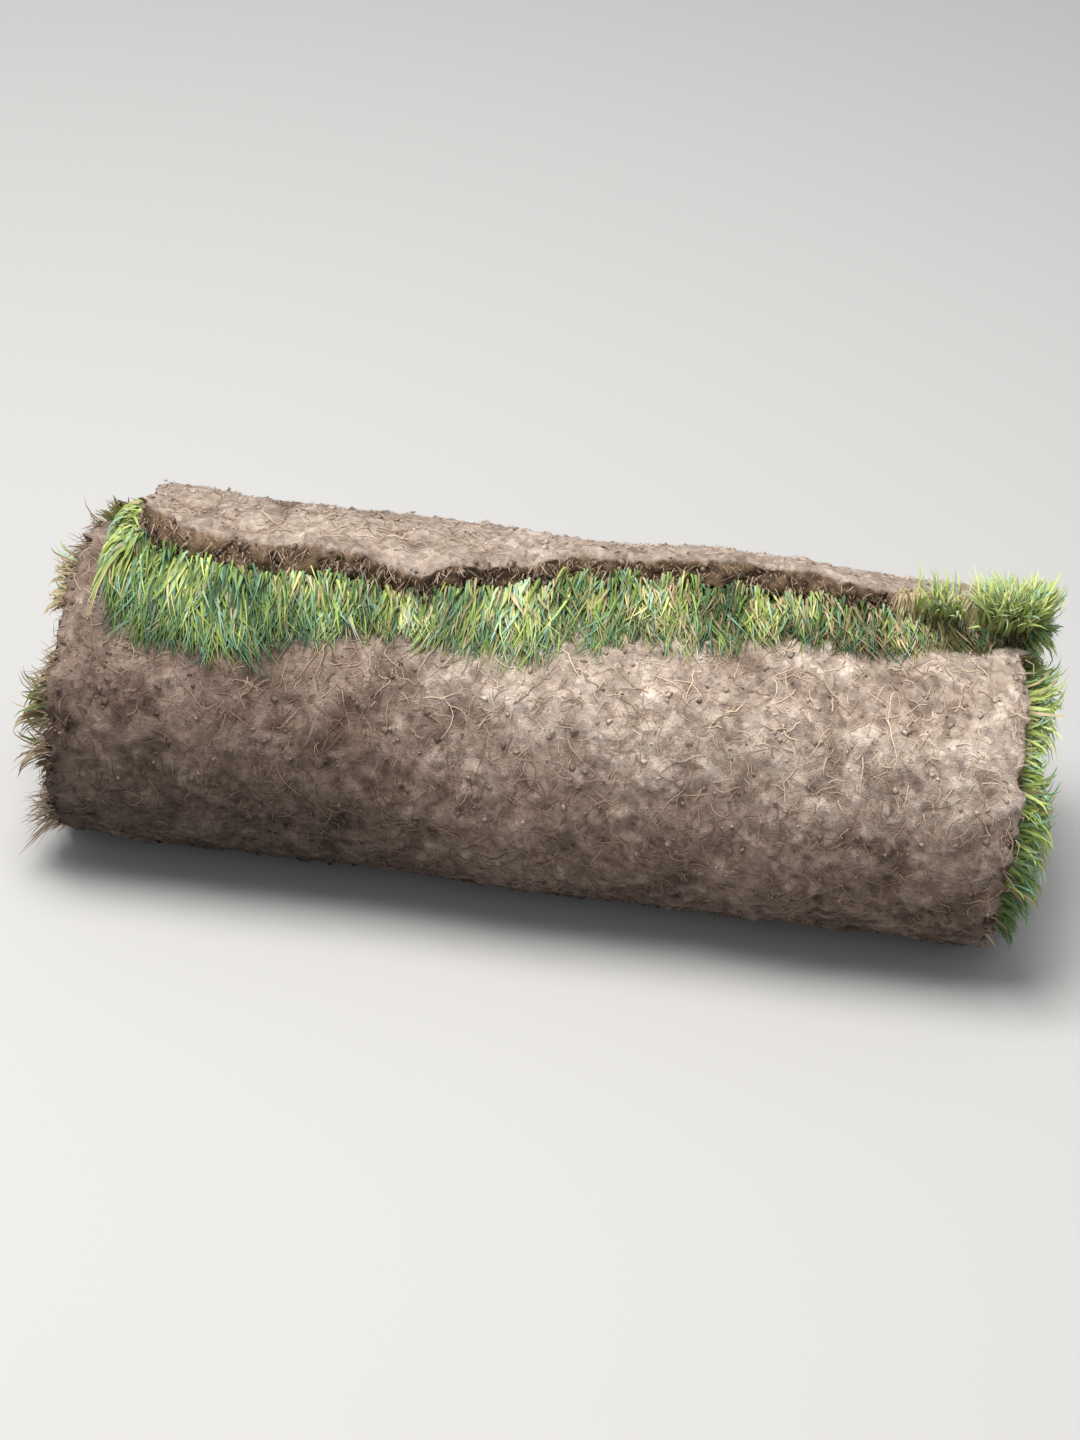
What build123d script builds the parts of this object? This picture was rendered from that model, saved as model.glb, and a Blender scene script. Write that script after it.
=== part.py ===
"""Roll of turf: one strip of lawn, wound up with its grass inside, lying on its side.

The strip's width runs along X, and the roll rests on Z = 0 below its own axis. It is wound from the
eye outwards. Its outer end comes up the back (+Y), over the top, and stops at a lip that faces -Y.
The turns are pressed into one body, so the grass between them shows as a band sunk into both ends
and as a gap under the lip.

Lengths are in millimetres. An angle is what the strip has turned through since its inner end, in
degrees, and a place is measured along the roll from its middle, towards +X.
"""

from math import cos, degrees, exp, floor, pi, radians, sin, sqrt, tanh
import os

from build123d import *

# The strip as it is cut
strip_width = 610  # across the strip, and so along the roll
strip_length = 1524  # unrolled
mat_thickness = 18  # soil held together by roots
grass_thickness = 8  # mown grass, pressed flat between two turns

# How it is wound: quarter turns, each round its own centre, and flatter at the top and the bottom
eye_radius = 6  # of the back and the front of the hollow in the middle
sag = 12  # how far from the axis the back and front centres lie, because the roll is limp
floor_press = 5  # how deep the floor flattens the underside
lip_direction = 88  # where the middle of the outer end lies, counted from the back over the top

# The outer end, which has come loose from the turn under it
loose_length = 120  # measured back from the middle of the lip
torn_width = 37  # a piece this wide is torn off along the -X edge of the loose length
lip_step = 38  # the -X part of the lip reaches this much further forward than the +X part
step_place = -12  # where it falls back
step_spread = 36  # over this length to each side
lip_bulge = 8  # its fullest forward bulge
bulge_place = -95
bulge_spread = 45
corner_wear = 10  # how much of each corner of the lip has crumbled away
corner_spread = 20
lip_lift = 6  # how far the lip stands off, on average
wave_lift = 4  # how much more it does at the crest of a wave
wave_length = 213  # from one crest to the next
crest_place = -86
gap_reach = 48  # how far the gap under the lip runs in before the turns are pressed together
root_depth = 6  # how deep the loose length is rooted in the turn under it

# The ends
fringe_depth = 25  # how far the grass band is sunk into each end
fringe_inset = 0.6  # the band stops this far short of the mat on each side

# How finely the loose length is followed
curve_steps = 6  # steps along each curve of its section
station_spacing = 24  # from one section to the next

full_turn = 360
turn_pitch = mat_thickness + grass_thickness
inner_radius = eye_radius + grass_thickness
end_place = strip_width / 2
tear_place = torn_width - end_place


def wound_angle(length):
    """Angle through which a strip of this length is wound, worked out at the middle of the mat."""
    first_radius = inner_radius + sag / sqrt(2) + mat_thickness / 2
    turns = (sqrt(first_radius**2 + turn_pitch * length / pi) - first_radius) / turn_pitch
    return full_turn * turns


middle_angle = wound_angle(strip_length)
loose_angle = wound_angle(strip_length - loose_length)


def direction_of(angle):
    """Direction in degrees in which the soil side faces there: 0 is the back, 90 the top."""
    return angle - middle_angle + lip_direction


def quarter_at(angle):
    """Number of the quarter turn there. The odd ones are at the top and the bottom."""
    return floor((direction_of(angle) + 45) / 90)


def radius_of(quarter):
    """Radius of the grass side of the mat in that quarter turn."""
    flatness = sag * sqrt(2) if quarter % 2 else 0
    return inner_radius + flatness + turn_pitch * (90 * quarter - direction_of(0)) / full_turn


def centre_of(quarter):
    """Centre of that quarter turn, across and above the axis."""
    shift = turn_pitch / 4 / sqrt(2)
    return [(sag, shift), (-shift, -sag), (-sag, -shift), (shift, sag)][quarter % 4]


underside = quarter_at(middle_angle - lip_direction - 90)
axis_height = radius_of(underside) + mat_thickness - sag - floor_press
gap_angle = degrees(gap_reach / radius_of(quarter_at(middle_angle)))


def section_point(angle, offset, lift=0):
    """Point of the section, offset outside the grass side of the mat, and lifted further."""
    across, up = centre_of(quarter_at(angle))
    radius = radius_of(quarter_at(angle)) + offset + lift
    direction = radians(direction_of(angle))
    return (across + radius * cos(direction), axis_height + up + radius * sin(direction))


def fade(distance, spread):
    """1 where distance is 0, and next to nothing beyond twice the spread."""
    return exp(-((distance / spread) ** 2))


def lip_at(place):
    """Angle at which the ragged lip stops, at that place along the roll."""
    step = lip_step / 2 * tanh((step_place - place) / step_spread)
    bulge = lip_bulge * fade(place - bulge_place, bulge_spread)
    wear = corner_wear * (fade(place - tear_place, corner_spread) + fade(place - end_place, corner_spread))
    return wound_angle(strip_length + step + bulge - wear)


def lift_at(angle, place):
    """How far the loose length stands off: not at all at its root, and most at the lip."""
    loose_share = (angle - loose_angle) / (lip_at(place) - loose_angle)
    wave = wave_lift * cos(2 * pi * (place - crest_place) / wave_length)
    return (lip_lift + wave) * loose_share**2


def wound_curve(first, last, offset):
    """Arcs along the pressed turns."""
    for quarter in range(quarter_at(first), quarter_at(last) + 1):
        across, up = centre_of(quarter)
        start = max(direction_of(first), 90 * quarter - 45)
        size = min(direction_of(last), 90 * quarter + 45) - start
        CenterArc((across, axis_height + up), radius_of(quarter) + offset, start, size)


def loose_curve(first, last, offset, place):
    """Spline along the loose length at that place."""
    angles = [first + (last - first) * step / curve_steps for step in range(curve_steps + 1)]
    points = [section_point(angle, offset, lift_at(angle, place)) for angle in angles]
    add(Edge.make_spline(points, parameters=range(curve_steps + 1)))


def line_across(angle, inner_offset, outer_offset, lift=0):
    """Line from the turn under the strip out to the strip itself."""
    Line(section_point(angle - full_turn, inner_offset), section_point(angle, outer_offset, lift))


def pressed_turns():
    """Outline of the turns, up to where the strip comes loose."""
    with BuildSketch(Plane.YZ.offset(-end_place)) as outline:
        with BuildLine():
            wound_curve(loose_angle - full_turn, loose_angle, mat_thickness)
            line_across(loose_angle, mat_thickness, mat_thickness)
        make_face()
    return outline.sketch


def loose_strip(place):
    """Section of the loose length at that place, with its root in the turn under it."""
    lip = lip_at(place)
    root = lip - gap_angle
    lift = lift_at(lip, place)
    root_offset = mat_thickness - root_depth
    with BuildSketch(Plane.YZ.offset(place)) as section:
        with BuildLine():
            loose_curve(loose_angle, lip, mat_thickness, place)
            Line(section_point(lip, mat_thickness, lift), section_point(lip, 0, lift))
            loose_curve(root, lip, 0, place)
            line_across(root, root_offset, 0, lift_at(root, place))
            wound_curve(loose_angle - full_turn, root - full_turn, root_offset)
            line_across(loose_angle, root_offset, mat_thickness)
        make_face()
    return section.sketch


def grass_band(last, place):
    """The eye and the grass between the turns out to that angle, as an end shows them."""
    soil_side = mat_thickness + fringe_inset
    with BuildSketch(Plane.YZ.offset(place)) as band:
        with BuildLine():
            wound_curve(0, loose_angle, -fringe_inset)
            if last > loose_angle:
                loose_curve(loose_angle, last, -fringe_inset, place)
            line_across(last, soil_side, -fringe_inset, max(0, lift_at(last, place)))
            wound_curve(0, last - full_turn, soil_side)
            Line(section_point(0, soil_side), section_point(0, -fringe_inset))
        make_face()
    return band.sketch


def torn_band():
    """The grass under the loose length, as its torn edge shows it."""
    last = lip_at(tear_place) - gap_angle / 2
    soil_side = mat_thickness + fringe_inset
    with BuildSketch(Plane.YZ.offset(tear_place)) as band:
        with BuildLine():
            loose_curve(loose_angle, last, -fringe_inset, tear_place)
            line_across(last, soil_side, -fringe_inset, lift_at(last, tear_place))
            wound_curve(loose_angle - full_turn, last - full_turn, soil_side)
            line_across(loose_angle, soil_side, -fringe_inset)
        make_face()
    return band.sketch


def eye_hollow():
    """What the grass of the first turn leaves open, right through the roll."""
    with BuildSketch(Plane.YZ.offset(-end_place)) as hollow:
        with BuildLine():
            wound_curve(0, full_turn, -grass_thickness)
            line_across(full_turn, -grass_thickness, -grass_thickness)
        make_face()
    return hollow.sketch


station_count = max(3, round((end_place - tear_place) / station_spacing))
stations = [tear_place + (end_place - tear_place) * i / station_count for i in range(station_count + 1)]

with BuildPart() as turf_roll:
    extrude(pressed_turns(), amount=strip_width)
    loft([loose_strip(place) for place in stations])
    extrude(eye_hollow(), amount=strip_width, mode=Mode.SUBTRACT)
    under_lip = lip_at(end_place) - gap_angle / 2
    extrude(grass_band(under_lip, end_place), amount=-fringe_depth, mode=Mode.SUBTRACT)
    extrude(grass_band(loose_angle, -end_place), amount=fringe_depth, mode=Mode.SUBTRACT)
    extrude(torn_band(), amount=fringe_depth, mode=Mode.SUBTRACT)
    split(bisect_by=Plane.XY, keep=Keep.TOP)

turf_roll.part.label = "turf_roll"

os.makedirs("parts", exist_ok=True)
export_step(turf_roll.part, "parts/turf_roll.step")
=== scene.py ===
"""Looks of a roll of turf: soil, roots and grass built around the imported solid, in metres.

Angles and places are those of the solid: an angle is what the strip has turned through since its
inner end, in degrees, and a place is measured along the roll from its middle, towards +X.
"""

import bpy
import numpy as np
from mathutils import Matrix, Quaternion, Vector


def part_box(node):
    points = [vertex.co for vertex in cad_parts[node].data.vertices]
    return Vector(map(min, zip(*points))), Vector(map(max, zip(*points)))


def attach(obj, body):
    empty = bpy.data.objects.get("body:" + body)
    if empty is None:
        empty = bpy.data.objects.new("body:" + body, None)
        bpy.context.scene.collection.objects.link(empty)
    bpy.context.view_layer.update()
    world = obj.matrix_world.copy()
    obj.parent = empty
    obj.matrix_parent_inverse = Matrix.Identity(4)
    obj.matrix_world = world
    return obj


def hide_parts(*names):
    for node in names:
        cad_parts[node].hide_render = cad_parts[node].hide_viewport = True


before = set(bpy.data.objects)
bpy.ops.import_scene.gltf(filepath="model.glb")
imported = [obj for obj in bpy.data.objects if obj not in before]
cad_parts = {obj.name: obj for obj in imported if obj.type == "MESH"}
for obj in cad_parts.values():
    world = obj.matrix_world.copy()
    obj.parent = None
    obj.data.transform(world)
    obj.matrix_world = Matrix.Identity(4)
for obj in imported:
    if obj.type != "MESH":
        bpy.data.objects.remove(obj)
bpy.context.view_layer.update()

# Camera: it looks down at the front of the roll, from where the photo was taken. It is tilted a
# little, because the roll lies aslant in the photo.
camera_eye = Vector((0.048, -1.624, 1.325))
camera_target = Vector((0.0, 0.0, 0.105))
camera_tilt = 6.3
camera_lens = 77
camera_sensor = 36

camera = bpy.data.objects.new("camera", bpy.data.cameras.new("camera"))
bpy.context.collection.objects.link(camera)
camera.data.sensor_fit = "VERTICAL"
camera.data.sensor_height = camera_sensor
camera.data.lens = camera_lens
camera.location = camera_eye
aim = (camera_target - camera_eye).to_track_quat("-Z", "Y")
camera.rotation_euler = (aim @ Quaternion((0, 0, 1), np.radians(camera_tilt))).to_euler()
bpy.context.scene.camera = camera

# Floor and light: a pale plain floor under a wide overcast sky. A large soft light hangs above the
# roll, a little to its left, and a weak one fills in from the front.
floor_size = 60
floor_colour = (0.50, 0.495, 0.485)
floor_roughness = 0.8
sky_colour = (0.93, 0.96, 1.0)
sky_strength = 0.45
light_target = (0, 0, 0.1)


def new_material(name):
    """Material with its principled shader."""
    material = bpy.data.materials.new(name)
    material.use_nodes = True
    return material, material.node_tree.nodes["Principled BSDF"]


def add_light(name, place, size, power, colour):
    """Square area light that looks at the roll."""
    light = bpy.data.objects.new(name, bpy.data.lights.new(name, "AREA"))
    bpy.context.collection.objects.link(light)
    light.data.size = size
    light.data.energy = power
    light.data.color = colour
    light.location = place
    light.rotation_euler = (Vector(light_target) - Vector(place)).to_track_quat("-Z", "Y").to_euler()


floor_mesh = bpy.data.meshes.new("floor")
half = floor_size / 2
floor_corners = [(-half, -half, 0), (half, -half, 0), (half, half, 0), (-half, half, 0)]
floor_mesh.from_pydata(floor_corners, [], [(0, 1, 2, 3)])
floor = bpy.data.objects.new("floor", floor_mesh)
bpy.context.collection.objects.link(floor)
floor_material, floor_shader = new_material("floor")
floor_shader.inputs["Base Color"].default_value = (*floor_colour, 1)
floor_shader.inputs["Roughness"].default_value = floor_roughness
floor_mesh.materials.append(floor_material)

world = bpy.data.worlds.new("sky")
bpy.context.scene.world = world
world.use_nodes = True
world.node_tree.nodes["Background"].inputs["Color"].default_value = (*sky_colour, 1)
world.node_tree.nodes["Background"].inputs["Strength"].default_value = sky_strength
add_light("sky_light", place=(-0.5, -0.25, 2.6), size=1.4, power=98, colour=(1.0, 0.98, 0.96))
add_light("front_fill", place=(1.6, -2.4, 1.6), size=1.5, power=4, colour=(0.95, 0.97, 1.0))
bpy.context.scene.view_settings.view_transform = "Standard"

# The wound strip: how the strip of lawn lies, in quarter turns that each have their own centre.
# It is what the solid's source works out, and the lip is made more ragged here.
full_turn = 360
quarter_turn = 90
strip_length = 1.524
mat_thickness = 0.018
grass_thickness = 0.008
eye_radius = 0.006
sag = 0.012
floor_press = 0.005
lip_direction = 88
loose_length = 0.120
torn_width = 0.037
lip_step = 0.038
step_place = -0.012
step_spread = 0.036
lip_bulge = 0.008
bulge_place = -0.095
bulge_spread = 0.045
corner_wear = 0.010
corner_spread = 0.020
lip_ragged = (0.0035, 0.0014)
lip_ragged_sizes = (0.017, 0.005)
lip_lift = 0.006
wave_lift = 0.004
wave_length = 0.213
crest_place = -0.086
furthest_share = 1.5  # of the loose length: grass hangs on beyond the lip
floor_gap = 0.0004
noise_cells = 256
noise_shift = 1000.0

end_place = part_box("turf_roll")[1][0]
tear_place = torn_width - end_place
turn_pitch = mat_thickness + grass_thickness
inner_radius = eye_radius + grass_thickness
first_radius = inner_radius + sag / np.sqrt(2) + mat_thickness / 2


def cells_at(along, across, size):
    """Column and row of the cell that holds each place, and how far into the cell it lies."""
    u = np.asarray(along) / size + noise_shift
    v = np.asarray(across) / size + noise_shift
    column = np.floor(u).astype(int)
    row = np.floor(v).astype(int)
    return column, row, u - column, v - row


def smooth_noise(along, across, size, seed):
    """Random height from -1 to 1 that changes smoothly from cell to cell of that size."""
    table = np.random.default_rng(seed).uniform(-1, 1, (noise_cells, noise_cells))
    column, row, u, v = cells_at(along, across, size)
    u = u * u * (3 - 2 * u)
    v = v * v * (3 - 2 * v)
    this_column = column % noise_cells
    next_column = (column + 1) % noise_cells
    this_row = row % noise_cells
    next_row = (row + 1) % noise_cells
    low = table[this_column, this_row] * (1 - u) + table[next_column, this_row] * u
    high = table[this_column, next_row] * (1 - u) + table[next_column, next_row] * u
    return low * (1 - v) + high * v


def wound_angle(length):
    """Angle through which a strip of this length is wound."""
    middle_radius = np.sqrt(first_radius**2 + turn_pitch * length / np.pi)
    return full_turn * (middle_radius - first_radius) / turn_pitch


def strip_at(angle):
    """Length of strip that is wound up to that angle."""
    middle_radius = turn_pitch * angle / full_turn + first_radius
    return np.pi * (middle_radius**2 - first_radius**2) / turn_pitch


middle_angle = wound_angle(strip_length)
loose_angle = wound_angle(strip_length - loose_length)


def direction_of(angle):
    """Direction in degrees in which the soil side faces there: 0 is the back, 90 the top."""
    return angle - middle_angle + lip_direction


def quarter_at(angle):
    """Number of the quarter turn there."""
    return np.floor((direction_of(angle) + quarter_turn / 2) / quarter_turn).astype(int)


def radius_of(quarter):
    """Radius of the grass side of the mat in that quarter turn."""
    flatness = sag * np.sqrt(2) * (quarter % 2)
    return inner_radius + flatness + turn_pitch * (quarter_turn * quarter - direction_of(0)) / full_turn


centre_shift = turn_pitch / 4 / np.sqrt(2)
quarter_centres = np.array([
    (sag, centre_shift),
    (-centre_shift, -sag),
    (-sag, -centre_shift),
    (centre_shift, sag),
])
underside = quarter_at(middle_angle - lip_direction - quarter_turn)
axis_height = radius_of(underside) + mat_thickness - sag - floor_press
outer_radius = radius_of(quarter_at(middle_angle)) + mat_thickness


def turned_by(distance):
    """Angle of a distance round the roll's outer turn."""
    return np.degrees(distance / outer_radius)


def fade(distance, spread):
    """1 where distance is 0, and next to nothing beyond twice the spread."""
    return np.exp(-((distance / spread) ** 2))


def lip_at(place):
    """Angle at which the ragged lip stops, at that place along the roll."""
    place = np.asarray(place)
    step = lip_step / 2 * np.tanh((step_place - place) / step_spread)
    bulge = lip_bulge * fade(place - bulge_place, bulge_spread)
    wear = corner_wear * (fade(place - tear_place, corner_spread) + fade(place - end_place, corner_spread))
    ragged = lip_ragged[0] * smooth_noise(place, 0, lip_ragged_sizes[0], 3)
    small_ragged = lip_ragged[1] * smooth_noise(place, 0, lip_ragged_sizes[1], 4)
    return wound_angle(strip_length + step + bulge - wear + ragged + small_ragged)


def lift_at(angle, place):
    """How far the strip stands off the turn under it: only its loose length does, most at the lip."""
    loose_share = np.clip((angle - loose_angle) / (lip_at(place) - loose_angle), 0, furthest_share)
    wave = wave_lift * np.cos(2 * np.pi * (place - crest_place) / wave_length)
    return (lip_lift + wave) * loose_share**2


def wound_points(angle, place, offset):
    """Points at that offset outside the grass side of the mat. None lies under the floor."""
    angle, place, offset = np.broadcast_arrays(angle, place, offset)
    quarter = quarter_at(angle)
    centre = quarter_centres[quarter % 4]
    radius = radius_of(quarter) + offset
    direction = np.radians(direction_of(angle))
    across = centre[..., 0] + radius * np.cos(direction)
    height = axis_height + centre[..., 1] + radius * np.sin(direction)
    return np.stack([place, across, np.maximum(height, floor_gap)], axis=-1)


# The mat: clay soil felted with roots, cut from the ground with a blade, so its soil side is fairly
# even, with hollows and small clods, and its edges crumble. It stands for the solid.
soil_palette = (
    (0.050, 0.034, 0.026),
    (0.170, 0.122, 0.094),
    (0.357, 0.284, 0.232),
    (0.605, 0.515, 0.438),
)
cut_palette = ((0.035, 0.021, 0.013), (0.125, 0.078, 0.048), (0.290, 0.200, 0.130))

# What the soil side is made of: how wide each feature is, how high it stands, and how much paler it is.
# The paleness follows the relief: hollows and cracks are painted dark as shade, and what stands up is
# painted pale as light. Only the blotches are the soil's own colour.
soil_features = {
    "dents": (0.080, 0.0020, 0.07),
    "lumps": (0.026, 0.0012, 0.08),
    "small_lumps": (0.010, 0.0008, 0.09),
    "grit": (0.0052, 0.0003, 0.07),
    "clods": (0.013, 0.0022, 0.10),
    "flakes": (0.0075, 0.0011, 0.16),
    "cracks": (0.0075, -0.0012, -0.28),
    "hollows": (0.015, -0.0014, -0.30),
    "blotches": (0.023, 0, 0.14),
}
even_tone = 0.63
bend_size = 0.012
bend_reach = 0.004
clod_steepness = 1.35
clod_rarity = 0.7
tallest_clod = 1.2
flake_radius = 0.42  # in cells: beyond it the gaps between the flakes are cracks
small_hollow_size = 0.0062
small_hollow_share = 0.9
hollow_rarity = 0.45
deepest_hollow = 0.7
small_blotch_size = 0.014
small_blotch_share = 0.6

# Painted light and shade: lighter on top and darker near the ground, and by place along the roll.
shade_heights = (0, 0.05, 0.09, 0.13, 0.18, 0.22)
painted_brightness = (0.25, 0.38, 0.59, 0.72, 1.32, 1.28)
shade_places = (-0.305, -0.13, -0.05, 0.10, 0.305)
shade_place_shares = (0.57, 0.62, 1.00, 1.10, 1.22)
shade_tint = (1.07, 0.95, 0.92)
top_brightness = 1.2
shade_range = 0.6
top_heights = (0.185, 0.220)
top_evenness = 0.65
top_tone = 0.66

# Its edges, the torn wall of the lip, and the grid of points.
edge_crumble = 0.0044
edge_spread = 0.006
edge_chunks = (0.010, 0.014, 0.0052)
lip_chunks = (0.019, 0.007, 0.0040)
torn_spread = 0.005
edge_rounding = 0.0022
lip_slope = 0.014
lip_slope_spread = 0.018
lip_slope_places = (-0.27, -0.15, -0.10, -0.03, 0.10, 0.305)
lip_slope_shares = (1, 0.9, 0.12, 0.35, 0.3, 0.1)
cut_tones = (0.68, 0.26)  # at the soil side and at the grass side
cut_grains = (0.006, 0.0025)
cut_sharpness = 8
grid_spacing = 0.0026
sparse_spacing = 0.03
dense_reach = 0.03
turned_in = 0.030
lip_turned_in = 0.060
wall_steps = 10
under_steps = 6
lip_under_steps = 12
seam_back = 8
seam_overlap = 4
tear_forward = 1.5
outer_first = loose_angle - full_turn - seam_back
inner_last = outer_first + seam_overlap
outer_last = loose_angle + tear_forward


def scattered_cells(along, across, size, seed):
    """Distance in cells to the nearest of many scattered middles, and a random share of that middle."""
    random = np.random.default_rng(seed)
    middles = random.uniform(0.1, 0.9, (noise_cells, noise_cells, 2))
    shares = random.uniform(0, 1, (noise_cells, noise_cells))
    column, row, u, v = cells_at(along, across, size)
    nearest = np.full(u.shape, np.inf)
    share = np.zeros(u.shape)
    for step_u in (-1, 0, 1):
        for step_v in (-1, 0, 1):
            cell_u = (column + step_u) % noise_cells
            cell_v = (row + step_v) % noise_cells
            middle = middles[cell_u, cell_v]
            distance = np.hypot(step_u + middle[..., 0] - u, step_v + middle[..., 1] - v)
            nearer = distance < nearest
            nearest = np.where(nearer, distance, nearest)
            share = np.where(nearer, shares[cell_u, cell_v], share)
    return nearest, share


def soil_relief(strip, place):
    """Height of the soil side above an even one, and its tone from 0 to 1, darker in hollows as painted
    shade.
    """
    sizes = {name: values[0] for name, values in soil_features.items()}
    bent_strip = strip + bend_reach * smooth_noise(strip, place, bend_size, 18)
    bent_place = place + bend_reach * smooth_noise(strip, place, bend_size, 19)
    clod_distance, clod_share = scattered_cells(bent_strip, bent_place, sizes["clods"], 15)
    clod_growth = np.clip(clod_share * 2 - clod_rarity, 0, tallest_clod)
    flake_distance, flake_share = scattered_cells(bent_place, bent_strip, sizes["flakes"], 16)
    patches = smooth_noise(bent_strip, bent_place, sizes["hollows"], 16)
    patches = patches + small_hollow_share * smooth_noise(bent_place, bent_strip, small_hollow_size, 17)
    blotches = smooth_noise(bent_strip, bent_place, sizes["blotches"], 28)
    blotches = blotches + small_blotch_share * smooth_noise(bent_place, bent_strip, small_blotch_size, 29)
    amounts = {
        "dents": smooth_noise(strip, place, sizes["dents"], 11),
        "lumps": smooth_noise(strip, place, sizes["lumps"], 12),
        "small_lumps": smooth_noise(strip, place, sizes["small_lumps"], 13),
        "grit": smooth_noise(strip, place, sizes["grit"], 14),
        "clods": np.clip(1 - clod_distance * clod_steepness, 0, 1) * clod_growth,
        "flakes": flake_share - 0.5,
        "cracks": np.clip(flake_distance - flake_radius, 0, 1),
        "hollows": np.clip(patches - hollow_rarity, 0, deepest_hollow),
        "blotches": blotches,
    }
    height = sum(soil_features[name][1] * amount for name, amount in amounts.items())
    tone = even_tone + sum(soil_features[name][2] * amount for name, amount in amounts.items())
    return height, np.clip(tone, 0, 1)


def blended(palette, tone):
    """Colours of the palette, evenly spread over the tones from 0 to 1."""
    places = np.linspace(0, 1, len(palette))
    return np.stack([np.interp(tone, places, channel) for channel in zip(*palette)], axis=-1)


def painted_light_and_shade(points):
    """Painted light and shade on the soil: lighter on top, darker near the ground and towards the -X end."""
    by_height = np.interp(points[..., 2], shade_heights, painted_brightness)
    by_place = np.interp(points[..., 0], shade_places, shade_place_shares)
    lower_share = np.interp(points[..., 2], top_heights, (1, 0))
    brightness = by_height * (1 + (by_place - 1) * lower_share)
    # The painted shade is tinted warmer where it is darker.
    shade_share = np.clip(top_brightness - brightness, 0, shade_range) / shade_range
    return brightness[..., None] * (1 + (np.array(shade_tint) - 1) * shade_share[..., None])


def grid_faces(rows, columns):
    """Faces between the points of a grid."""
    first = (np.arange(rows - 1)[:, None] * columns + np.arange(columns - 1)).ravel()
    return np.stack([first, first + 1, first + columns + 1, first + columns], axis=-1)


def add_piece(name, points, faces, colours, material):
    """Mesh piece with a colour at each point. It rides with the roll."""
    mesh = bpy.data.meshes.new(name)
    mesh.from_pydata(points.reshape(-1, 3).tolist(), [], faces.tolist())
    paint = mesh.attributes.new("paint", "FLOAT_COLOR", "POINT")
    colours = colours.reshape(-1, 3)
    paint.data.foreach_set("color", np.hstack([colours, np.ones((len(colours), 1))]).ravel())
    mesh.shade_smooth()
    mesh.materials.append(material)
    piece = bpy.data.objects.new(name, mesh)
    bpy.context.collection.objects.link(piece)
    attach(piece, "root")
    return piece


def new_node(material, kind, **values):
    """Shader node with its constant sockets set."""
    node = material.node_tree.nodes.new(kind)
    for name, value in values.items():
        node.inputs[name.replace("_", " ")].default_value = value
    return node


def painted_material(name, grains, bump_distance, roughness, sheen=0.0):
    """Painted colour, darkened and lightened by layers of grain that also roughen the surface.

    A grain is its kind of texture, how many there are to a metre, and its contrast.
    """
    material, shader = new_material(name)
    nodes = material.node_tree.nodes
    links = material.node_tree.links
    paint = nodes.new("ShaderNodeAttribute")
    paint.attribute_name = "paint"
    coordinates = nodes.new("ShaderNodeTexCoord")
    total = None
    for kind, scale, contrast in grains:
        grain = new_node(material, kind, Scale=scale)
        links.new(coordinates.outputs["Object"], grain.inputs["Vector"])
        if kind == "ShaderNodeTexNoise":
            grain.inputs["Detail"].default_value = 6.0
            grain.inputs["Roughness"].default_value = 0.65
        spread = new_node(material, "ShaderNodeMapRange", From_Min=0.25, From_Max=0.75)
        spread.clamp = False
        spread.inputs["To Min"].default_value = -contrast
        spread.inputs["To Max"].default_value = contrast
        links.new(grain.outputs["Color"], spread.inputs["Value"])
        if total is None:
            total = spread.outputs["Result"]
        else:
            both = nodes.new("ShaderNodeMath")
            links.new(total, both.inputs[0])
            links.new(spread.outputs["Result"], both.inputs[1])
            total = both.outputs["Value"]
    brightness = nodes.new("ShaderNodeMath")
    brightness.inputs[1].default_value = 1.0
    tinted = nodes.new("ShaderNodeVectorMath")
    tinted.operation = "SCALE"
    bump = new_node(material, "ShaderNodeBump", Strength=1.0, Distance=bump_distance)
    links.new(total, brightness.inputs[0])
    links.new(paint.outputs["Color"], tinted.inputs[0])
    links.new(brightness.outputs["Value"], tinted.inputs["Scale"])
    links.new(tinted.outputs["Vector"], shader.inputs["Base Color"])
    links.new(total, bump.inputs["Height"])
    links.new(bump.outputs["Normal"], shader.inputs["Normal"])
    shader.inputs["Roughness"].default_value = roughness
    shader.inputs["Specular IOR Level"].default_value = 0.25
    shader.inputs["Sheen Weight"].default_value = sheen
    return material


def steps_between(low, high, spacing):
    """Places from low to high, that far apart."""
    return np.linspace(low, high, round((high - low) / spacing))


def rows_between(first, last, spacing):
    """Angles from first to last, that far apart along the strip."""
    return np.linspace(first, last, round((strip_at(last) - strip_at(first)) / spacing))


def end_steps(low, high):
    """Places from low to high, close together near both ends and wider apart in between."""
    near = np.arange(0, dense_reach, grid_spacing)
    count = round((high - low - 2 * dense_reach) / sparse_spacing)
    middle = np.linspace(low + dense_reach, high - dense_reach, count)
    return np.concatenate([low + near, middle, high - near[::-1]])


def wrapped_line(steps):
    """Places from the grass side round one edge, along the soil side, and round the other edge.

    With them comes the depth of each, from 0 on the soil side to 1 on the grass side.
    """
    under = np.linspace(turned_in, 0, under_steps)[:-1]
    wall = np.linspace(1, 0, wall_steps)
    middle = steps[1:-1]
    low = steps[0]
    high = steps[-1]
    places = np.concatenate([low + under, low + 0 * wall, middle, high + 0 * wall, high - under[::-1]])
    depths = np.concatenate([1 + 0 * under, wall, 0 * middle, wall[::-1], 1 + 0 * under])
    return places, depths


def from_lip(angle, place):
    """Distance back from the lip, measured round the roll."""
    return np.radians(lip_at(place) - angle) * outer_radius


def set_back(angle, place, depth):
    """How far the slope of the lip's torn wall moves the mat back, in metres."""
    slope = lip_slope * np.interp(place, lip_slope_places, lip_slope_shares)
    return slope * fade(from_lip(angle, place), lip_slope_spread) * (1 - depth)


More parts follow.
